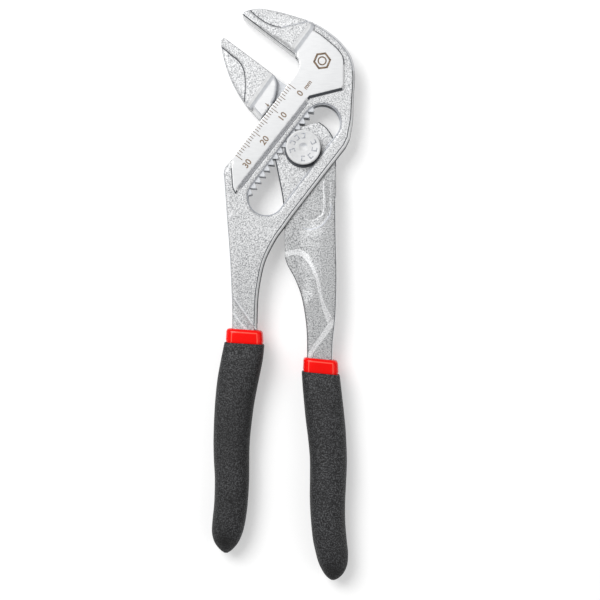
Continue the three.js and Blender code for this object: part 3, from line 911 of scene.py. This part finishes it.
def cam_height(p):
    thick = inside(THICK_CAM, p)
    u, foot = distance(U_EDGE, p, False), distance(U_FOOT, p, False)
    side = ramp(distance(CAM_SIDE, p, False), 8.0)
    shoulder = np.where(inside([*U_EDGE, *U_FOOT[::-1]], p), foot / (foot + u + 1e-9), 0.0)
    z = BLADE + (CAM - BLADE) * side * np.where(thick, 1.0, ramp(shoulder, 1.0))
    low = np.minimum(z, CAM - 0.45)
    arch, pocket = inside(ARCH, p), inside(POCKET, p)
    a, b = distance(ARCH_OUT, p, False), distance(ARCH_IN, p, False)
    z = np.where(pocket, low, z)
    z = np.where(arch, z + (low - z) * ramp(a, a + b + 1e-9), z)
    band = inside(DIAGONAL, p)
    z = np.where(inside(TANG2, p) | band, low, z)
    edge = distance(CAM_OUT, p)
    return z + np.where(
        thick, border(edge, 0.8), np.interp(edge, [0, 0.12, 0.35], [-0.3, -0.12, 0]),
    )


def cam_zone(p):
    z = np.full(len(p), C_DARKER)
    across = p[:, 0] * math.cos(RAIL) - p[:, 1] * math.sin(RAIL)
    # The thin blade left of the ruler takes the lighter forged colour, painted light that makes the
    # lever lighter towards its head.
    z[~inside(THICK_CAM, p) & (across < 9)] = C_FORGED_LIT
    # The arch, the diagonal and the U's foot are painted highlights, the U's edge a painted shade
    # line.
    z[inside(ARCH, p) | inside(DIAGONAL, p)] = C_PALE_HIGHLIGHT
    z[distance(U_EDGE[4:], p, False) < U_LINE] = C_SHADE
    z[distance(U_FOOT, p, False) < U_FOOT_LINE] = C_PALE_HIGHLIGHT
    # The outer bevel is painted light with a painted shade line inside it; the inner, flank and
    # crown outlines are painted shade lines.
    outer = distance(OUTER, p, False)
    z[outer < OUTER_BEVEL] = C_BEVEL_HIGHLIGHT
    z[(outer > OUTER_BEVEL) & (outer < OUTER_LINE)] = C_EDGE_SHADE
    z[distance(INNER, p, False) < INNER_LINE] = C_EDGE_SHADE
    z[distance(FLANK, p, False) < FLANK_LINE] = C_EDGE_SHADE
    z[distance(CROWN, p, False) < CROWN_LINE] = C_EDGE_SHADE
    return z


def circle(r, steps=72):
    turn = np.linspace(0, 2 * math.pi, steps, False)
    return [(r * math.cos(a), r * math.sin(a)) for a in turn]


def cam_lever():
    """The handle lever with its flat head, the lobe that moves the jaw and the lock's seat."""
    bore, seat, rim = (circle(r) for r in (BORE_R, SEAT_R, SEAT_R + 0.06))

    def cam_top(p):
        return np.where(np.hypot(*p.T) < SEAT_R + 0.01, SEAT_Z, cam_height(p))

    bm = bmesh.new()
    features = [
        (seat, True), (rim, True),
        *beside(U_EDGE, -U_LINE, 0, U_LINE), *beside(U_FOOT, -U_FOOT_LINE, 0, U_FOOT_LINE),
        *beside(OUTER, -OUTER_BEVEL, -OUTER_LINE, trim=1),
        *beside(FLANK, -FLANK_LINE, trim=1), *beside(CROWN, -CROWN_LINE, trim=1),
        *beside(INNER, -INNER_LINE, trim=1),
        (ARCH_OUT, False), (ARCH_IN, False), (DIAGONAL, True),
    ]
    layer(
        bm, lambda p: inside(CAM_OUT, p) & ~inside(bore, p), [CAM_OUT, bore],
        cam_top, mirrored(cam_height), 0.5, cam_zone, features,
    )
    return link("cam_lever_body", bm, CAM_METALS, "cam_lever")


# ---------------------------------------------------------------- lock
def rounded(r, z0, z1, c=0.35):
    """Outer profile of a disc with rounded rims, from its lower face to its upper one."""
    arc = [math.pi / 2 * i / 5 for i in range(6)]
    low = [(r - c + c * math.sin(a), z0 + c - c * math.cos(a)) for a in arc]
    high = [(r - c + c * math.cos(a), z1 - c + c * math.sin(a)) for a in arc]
    return low + high


def push_button():
    """Cap with its dimple, collar and stem with the groove of the retaining ring."""
    bm = bmesh.new()
    cap = rounded(5.9, 4.75, 6.2, 0.4)
    face = [
        (5.2, 6.2), (5.05, 6.14), (1.75, 6.14), (1.5, 6.1), (1.2, 5.95), (0.85, 5.78), (0.45, 5.7),
        (0, 5.68),
    ]
    stem = [
        (0, -5.8), (1.1, -5.8), (1.3, -5.6), (1.3, -5.55), (1.0, -5.55), (1.0, -5.15), (1.3, -5.15),
        (1.3, 2.7), (4.1, 2.7), (4.1, 4.75),
    ]
    turned(bm, [*stem, *cap, *face])
    # Plain raised brackets round the dimple, each of a bar and two short arms.
    arms = ((2.9, 4.8, -0.7, -0.32), (2.9, 3.25, -0.32, 0.6), (4.4, 4.8, -0.32, 0.6))
    for angle in (27, 90, 124, 157, 198, 270, 310, 349):
        c, s = math.cos(math.radians(angle)), math.sin(math.radians(angle))
        for r0, r1, t0, t1 in arms:
            low, high = [], []
            for r, t in ((r0, t0), (r1, t0), (r1, t1), (r0, t1)):
                low.append(bm.verts.new(place(r * c - t * s, r * s + t * c, 6.1)))
                r, t = r + 0.08 * (1 if r == r0 else -1), t + 0.06 * (1 if t == t0 else -1)
                high.append(bm.verts.new(place(r * c - t * s, r * s + t * c, 6.25)))
            # The brackets' tops and sides take the shade colour: painted shade that makes them
            # stand out.
            bm.faces.new(high).material_index = B_SHADE
            for i in range(4):
                j = (i + 1) % 4
                bm.faces.new((low[i], low[j], high[j], high[i])).material_index = B_SHADE
    # The upper half of the dimple takes the soft shade colour as painted shade, the rest of it the
    # cap colour.
    for f in bm.faces:
        c = f.calc_center_median() - PIN
        if c.z > 5.6 * MM and math.hypot(c.x, c.y) < 1.5 * MM:
            f.material_index = B_SOFT_SHADE if c.y > 0.25 * MM else B_CAP
    return link("push_button_body", bm, BUTTON_METALS, "push_button", 30)


def button_spring():
    """The coil inside the hollow axle."""
    turns, around, sides = 4, 40, 14
    wire, coil, low, rise = 0.28, 2.2, -2.0, 4.4
    bm = bmesh.new()
    rings = []
    for i in range(turns * around + 1):
        a = 2 * math.pi * i / around
        z = low + rise * i / (turns * around)
        ring = []
        for k in range(sides):
            b = 2 * math.pi * k / sides
            r = coil + wire * math.cos(b)
            ring.append(
                bm.verts.new(place(r * math.cos(a), r * math.sin(a), z + wire * math.sin(b))),
            )
        rings.append(ring)
    for p, q in zip(rings, rings[1:]):
        for k in range(sides):
            n = (k + 1) % sides
            bm.faces.new((p[k], p[n], q[n], q[k]))
    bm.faces.new(rings[0])
    bm.faces.new(rings[-1][::-1])
    bmesh.ops.recalc_face_normals(bm, faces=bm.faces)
    piece = link("button_spring_coil", bm, [SPRING], "hinge", 50)
    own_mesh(piece)
    return piece


def button_washer():
    """A dark ring under the cap, a little to its lower left: painted shadow of the cap."""
    bm = bmesh.new()
    section = [
        (4.6, 2.48), (6.2, 2.48), (6.3, 2.52), (6.3, 2.63), (6.2, 2.67), (4.6, 2.67), (4.6, 2.48),
    ]
    turned(bm, section, centre=(-0.1, -0.35))
    return link("button_washer", bm, [EDGE_SHADE], "hinge", 30)


def hinge_bolt():
    """The hollow axle with its rear disc."""
    bm = bmesh.new()
    disc = rounded(7.6, -5.9, -4.5, 0.35)
    profile = [
        (1.6, -5.0), (2.9, -5.0), (2.9, -5.8), (3.0, -5.9), *disc, (4.1, -4.5), (4.1, -2.75),
        (3.4, -2.75), (3.4, 0.9), (2.85, 0.9), (2.85, -2.5), (1.6, -2.5), (1.6, -5.0),
    ]
    turned(bm, profile)
    bmesh.ops.remove_doubles(bm, verts=bm.verts, dist=1e-7)
    return link("hinge_bolt_body", bm, [BOLT], "hinge", 30)


# ---------------------------------------------------------------- grips
def loft(bm, sections, squareness, tilt, sides=64):
    """A closed skin through rounded sections, each given by its height y, centre, half width and
    half depth. tilt lowers the right side of every section."""
    rings = []
    for y, c, w, d in sections:
        ring = []
        n = squareness(y)
        for k in range(sides):
            a = 2 * math.pi * k / sides
            u = math.copysign(abs(math.cos(a)) ** (2 / n), math.cos(a))
            v = math.copysign(abs(math.sin(a)) ** (2 / n), math.sin(a))
            ring.append(bm.verts.new(place(c + w * u, y - tilt * w * u, d * v)))
        rings.append(ring)
    for p, q in zip(rings, rings[1:]):
        for k in range(sides):
            n = (k + 1) % sides
            bm.faces.new((p[k], p[n], q[n], q[k]))
    bm.faces.new(rings[0][::-1])
    bm.faces.new(rings[-1])
    bmesh.ops.recalc_face_normals(bm, faces=bm.faces)


FIXED_GRIP = [
    (-67.0, -20.1, 6.8, 6.15), (-72.0, -20.9, 7.05, 6.5), (-79.0, -22.25, 7.0, 6.5),
    (-86.0, -23.3, 6.7, 6.5), (-92.6, -23.95, 6.45, 6.5), (-99.4, -24.4, 6.2, 6.5),
    (-106.0, -24.45, 6.05, 6.5), (-113.0, -24.3, 5.85, 6.5), (-121.0, -24.65, 5.7, 6.3),
    (-127.0, -25.35, 5.6, 5.8), (-131.0, -25.95, 5.2, 5.0), (-134.2, -26.3, 4.1, 3.6),
    (-136.6, -26.4, 2.3, 2.0), (-137.9, -26.4, 0.6, 0.5),
]
CAM_GRIP = [
    (-77.1, 6.0, 6.5, 6.1), (-82.4, 6.5, 6.65, 6.5), (-92.6, 7.55, 6.75, 6.5),
    (-99.4, 8.2, 6.55, 6.5), (-106.0, 8.6, 6.35, 6.5), (-113.0, 8.5, 6.2, 6.5),
    (-120.0, 8.3, 6.05, 6.5), (-127.0, 8.5, 5.9, 6.4), (-133.5, 9.1, 5.85, 6.0),
    (-137.5, 9.7, 5.65, 5.4), (-141.5, 10.1, 4.95, 4.4), (-144.6, 10.2, 3.5, 2.8),
    (-146.4, 10.1, 1.9, 1.5), (-147.2, 10.1, 0.6, 0.5),
]


def grip(name, rows, tilt, body):
    """The outer sleeve: its sunken mouth, rounded lip and the body down to its tip."""
    y, c, w, d = rows[0]
    tip = rows[-3]
    ends = ((-2.0, 0.9), (0.45, 0.75), (0.6, 0.55), (0.66, 0.35), (0.58, 0.14), (0.3, 0.02))
    lip = [(y + up, c, w - less, d - less) for up, less in ends]
    bm = bmesh.new()

    def squareness(at):
        return 2.5 + 2.5 * max(0.0, 1 - (y - at) / 16) ** 1.5 if at < y else 5.0

    loft(bm, lip + curve(rows, 90), squareness, tilt)
    return link(
        name, bm, [black_grip(name + "_plastic", (tip[1], tip[0], 4.0))], body, 60,
    )


def collar(name, y0, y1, c0, w0, w1, d, tilt, body):
    """The visible end of the inner sleeve: a soft-edged collar round the tang."""
    mouth = (
        (1.2, 1.55, 1.75), (0.25, 1.5, 1.7), (0.05, 1.35, 1.5), (0, 1.05, 1.2), (0.06, 0.75, 0.85),
        (0.25, 0.42, 0.5), (0.55, 0.2, 0.2), (0.9, 0.06, 0.06), (1.3, 0, 0), (1.8, 0, 0),
    )
    rows = [(y0 - down, c0, w0 - side, d - deep) for down, side, deep in mouth]
    rows += [(y1 + 1.0, c0, w1, d), (y1 + 0.2, c0, w1 - 0.1, d - 0.1)]
    rows += [(y1 - 1.6, c0, w1 - 0.9, d - 0.6)]
    bm = bmesh.new()
    loft(bm, rows, lambda at: 4.6, tilt, 80)
    # Faces on two upright lines near the sides and on a band under the top rim take a lighter red:
    # painted highlights.
    for f in bm.faces:
        c = (f.calc_center_median() - PIN) / MM
        u, low = (c.x - c0) / w0, y0 - tilt * (c.x - c0) - c.y
        line = 0.66 < abs(u) < 0.715 and low > 0.8
        lip = abs(u) < 0.66 and 0.8 < low < 1.5
        if abs(c.z) > 0.6 * d and (line or lip):
            f.material_index = 1
    return link(name, bm, [RED, RED_HIGHLIGHT], body, 70)


# ---------------------------------------------------------------- marks
def plates(name, polygons, z, body, thick=0.03):
    """Thin inlaid marks: flat polygons standing a hair above the face."""
    bm = bmesh.new()
    for poly in polygons:
        poly = ccw(poly)
        top = [bm.verts.new(place(x, y, z + thick)) for x, y in poly]
        low = [bm.verts.new(place(x, y, z - 0.05)) for x, y in poly]
        bm.faces.new(top)
        for i in range(len(poly)):
            j = (i + 1) % len(poly)
            bm.faces.new((low[i], low[j], top[j], top[i]))
    return link(name, bm, [INK], body, 30)


def bar(s0, t0, s1, t1, w):
    """A line of width w between two rail points."""
    a, b = np.array(rail(s0, t0)), np.array(rail(s1, t1))
    d = (b - a) / np.hypot(*(b - a))
    n = np.array([-d[1], d[0]]) * w / 2
    return [tuple(a + n), tuple(a - n), tuple(b - n), tuple(b + n)]


def scale_marks():
    """Lines from 0 to 30 mm, longer at every fifth and tenth."""
    zero, start, width = 14.2, RULER_EDGE + 0.15, 0.22
    marks = []
    for k in range(31):
        long = 3.0 if k % 10 == 0 else (2.3 if k % 5 == 0 else 1.6)
        marks.append(bar(zero - k, start, zero - k, start + long, width))
    return plates("scale_marks", marks, GROUND, "fixed_lever")


def numbers(name, text, s, t, size, body="fixed_lever"):
    """Text at rail point (s, t), read from the handle side, as a thin mesh on the ground face."""
    c = bpy.data.curves.new(name, "FONT")
    c.body = text
    c.size = size * MM
    c.align_x, c.align_y = "CENTER", "CENTER"
    c.extrude = 0.02 * MM
    c.offset = 0.00006
    tmp = bpy.data.objects.new(name + "_text", c)
    bpy.context.scene.collection.objects.link(tmp)
    dg = bpy.context.evaluated_depsgraph_get()
    mesh = bpy.data.meshes.new_from_object(tmp.evaluated_get(dg))
    bpy.data.objects.remove(tmp)
    x, y = rail(s, t)
    turn = math.radians(90) - RAIL
    cos, sin = math.cos(turn), math.sin(turn)
    origin = Vector(place(x, y, GROUND + 0.005))
    for v in mesh.vertices:
        a, b = v.co.x, v.co.y
        v.co = origin + Vector((a * cos - b * sin, a * sin + b * cos, v.co.z))
    mesh.materials.clear()
    mesh.materials.append(INK)
    o = bpy.data.objects.new(name, mesh)
    bpy.context.scene.collection.objects.link(o)
    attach(o, body)
    return o


def pointer():
    """The reading mark of the sliding jaw."""
    s = 4.2
    marks = [
        [rail(s + 0.45, -18.35), rail(s - 0.45, -18.35), rail(s, -17.45)],
        bar(s, -18.3, s, -19.2, 0.28),
    ]
    return plates("pointer_mark", marks, GROUND, "sliding_jaw")


def nut_icon():
    """A plain hexagon nut outline, where the head's flat carries a mark."""
    cx, cy, r = 6.4, 29.3, 3.1
    polys = []
    for k in range(6):
        a, b = math.radians(60 * k + 7), math.radians(60 * k + 67)
        q = 0.76
        quad = ((r, a), (r, b), (q * r, b), (q * r, a))
        polys.append([(cx + m * math.cos(at), cy + m * math.sin(at)) for m, at in quad])
    for k in range(32):
        a, b = 2 * math.pi * k / 32, 2 * math.pi * (k + 1) / 32
        ring = ((1.55, a), (1.55, b), (1.1, b), (1.1, a))
        polys.append([(cx + radius * math.cos(c), cy + radius * math.sin(c)) for radius, c in ring])
    return plates("nut_mark", polys, GROUND, "fixed_lever")


# ---------------------------------------------------------------- assembly
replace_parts(fixed_lever(), "fixed_lever")
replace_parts(sliding_jaw(), "sliding_jaw")
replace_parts(cam_lever(), "cam_lever")
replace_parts(push_button(), "push_button")
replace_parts(hinge_bolt(), "hinge_bolt")
button_washer()
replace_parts(grip("fixed_grip_black", FIXED_GRIP, 0.06, "fixed_lever"), "fixed_grip_outer")
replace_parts(grip("cam_grip_black", CAM_GRIP, 0.1, "cam_lever"), "cam_grip_outer")
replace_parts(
    collar("fixed_collar_red", -61.6, -66.3, -19.95, 6.25, 6.4, 5.3, 0.07, "fixed_lever"),
    "fixed_grip_inner",
)
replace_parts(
    collar("cam_collar_red", -71.6, -76.5, 5.97, 5.95, 6.05, 5.3, 0.1, "cam_lever"),
    "cam_grip_inner",
)
scale_marks()
numbers("digit_0", "0", 14.0, -11.8, 3.0)
numbers("unit_mm", "mm", 17.8, -11.5, 2.1)
for value, s in ((10, 4.1), (20, -6.0), (30, -15.8)):
    numbers(f"digit_{value}", str(value), s, -11.8, 3.0)
pointer()
nut_icon()
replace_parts(button_spring(), "button_spring")
for held in frame["nodes"]["retaining_ring"].material_slots:
    held.material = SPRING


# ---------------------------------------------------------------- stage
def floor():
    """A white ground that glows a little, so that only the shadows show on it."""
    bm = bmesh.new()
    bmesh.ops.create_grid(bm, x_segments=2, y_segments=2, size=1.2)
    mesh = bpy.data.meshes.new("floor")
    bm.to_mesh(mesh)
    bm.free()
    m, nt, b = nodes_of("paper")
    n = noise(nt, 6, 2.0)
    nt.links.new(
        spread(nt, n, [(0.3, (0.68, 0.68, 0.68)), (0.7, (0.70, 0.70, 0.70))]),
        b.inputs["Base Color"],
    )
    b.inputs["Emission Color"].default_value = (1, 1, 1, 1)
    b.inputs["Emission Strength"].default_value = 0.33
    b.inputs["Roughness"].default_value = 0.9
    b.inputs["Specular IOR Level"].default_value = 0.1
    mesh.materials.append(m)
    o = bpy.data.objects.new("floor", mesh)
    o.location = (0, 0, -0.0002)
    bpy.context.scene.collection.objects.link(o)


def lamp(name, where, size, power, target=(0, 0, 0)):
    data = bpy.data.lights.new(name, "AREA")
    data.shape = "RECTANGLE"
    data.size, data.size_y = size
    data.energy = power
    o = bpy.data.objects.new(name, data)
    o.location = where
    o.rotation_mode = "QUATERNION"
    o.rotation_quaternion = (Vector(target) - Vector(where)).to_track_quat("-Z", "Y")
    bpy.context.scene.collection.objects.link(o)


floor()
lamp("key", (-0.27, 0.28, 0.57), (0.38, 0.38), 4.35)
lamp("fill", (0.6, -0.2, 0.7), (0.6, 0.6), 1.3)
world = bpy.data.worlds.new("tent")
bpy.context.scene.world = world
world.use_nodes = True
world.node_tree.nodes["Background"].inputs["Color"].default_value = (1, 1, 1, 1)
world.node_tree.nodes["Background"].inputs["Strength"].default_value = 0.38
bpy.context.scene.view_settings.view_transform = "Standard"

cam_data = bpy.data.cameras.new("camera")
cam_data.sensor_width = 36
cam_data.lens = 88.7
camera = bpy.data.objects.new("camera", cam_data)
camera.location = place(-1.08, -51.62, 505.0)
bpy.context.scene.collection.objects.link(camera)
bpy.context.scene.camera = camera
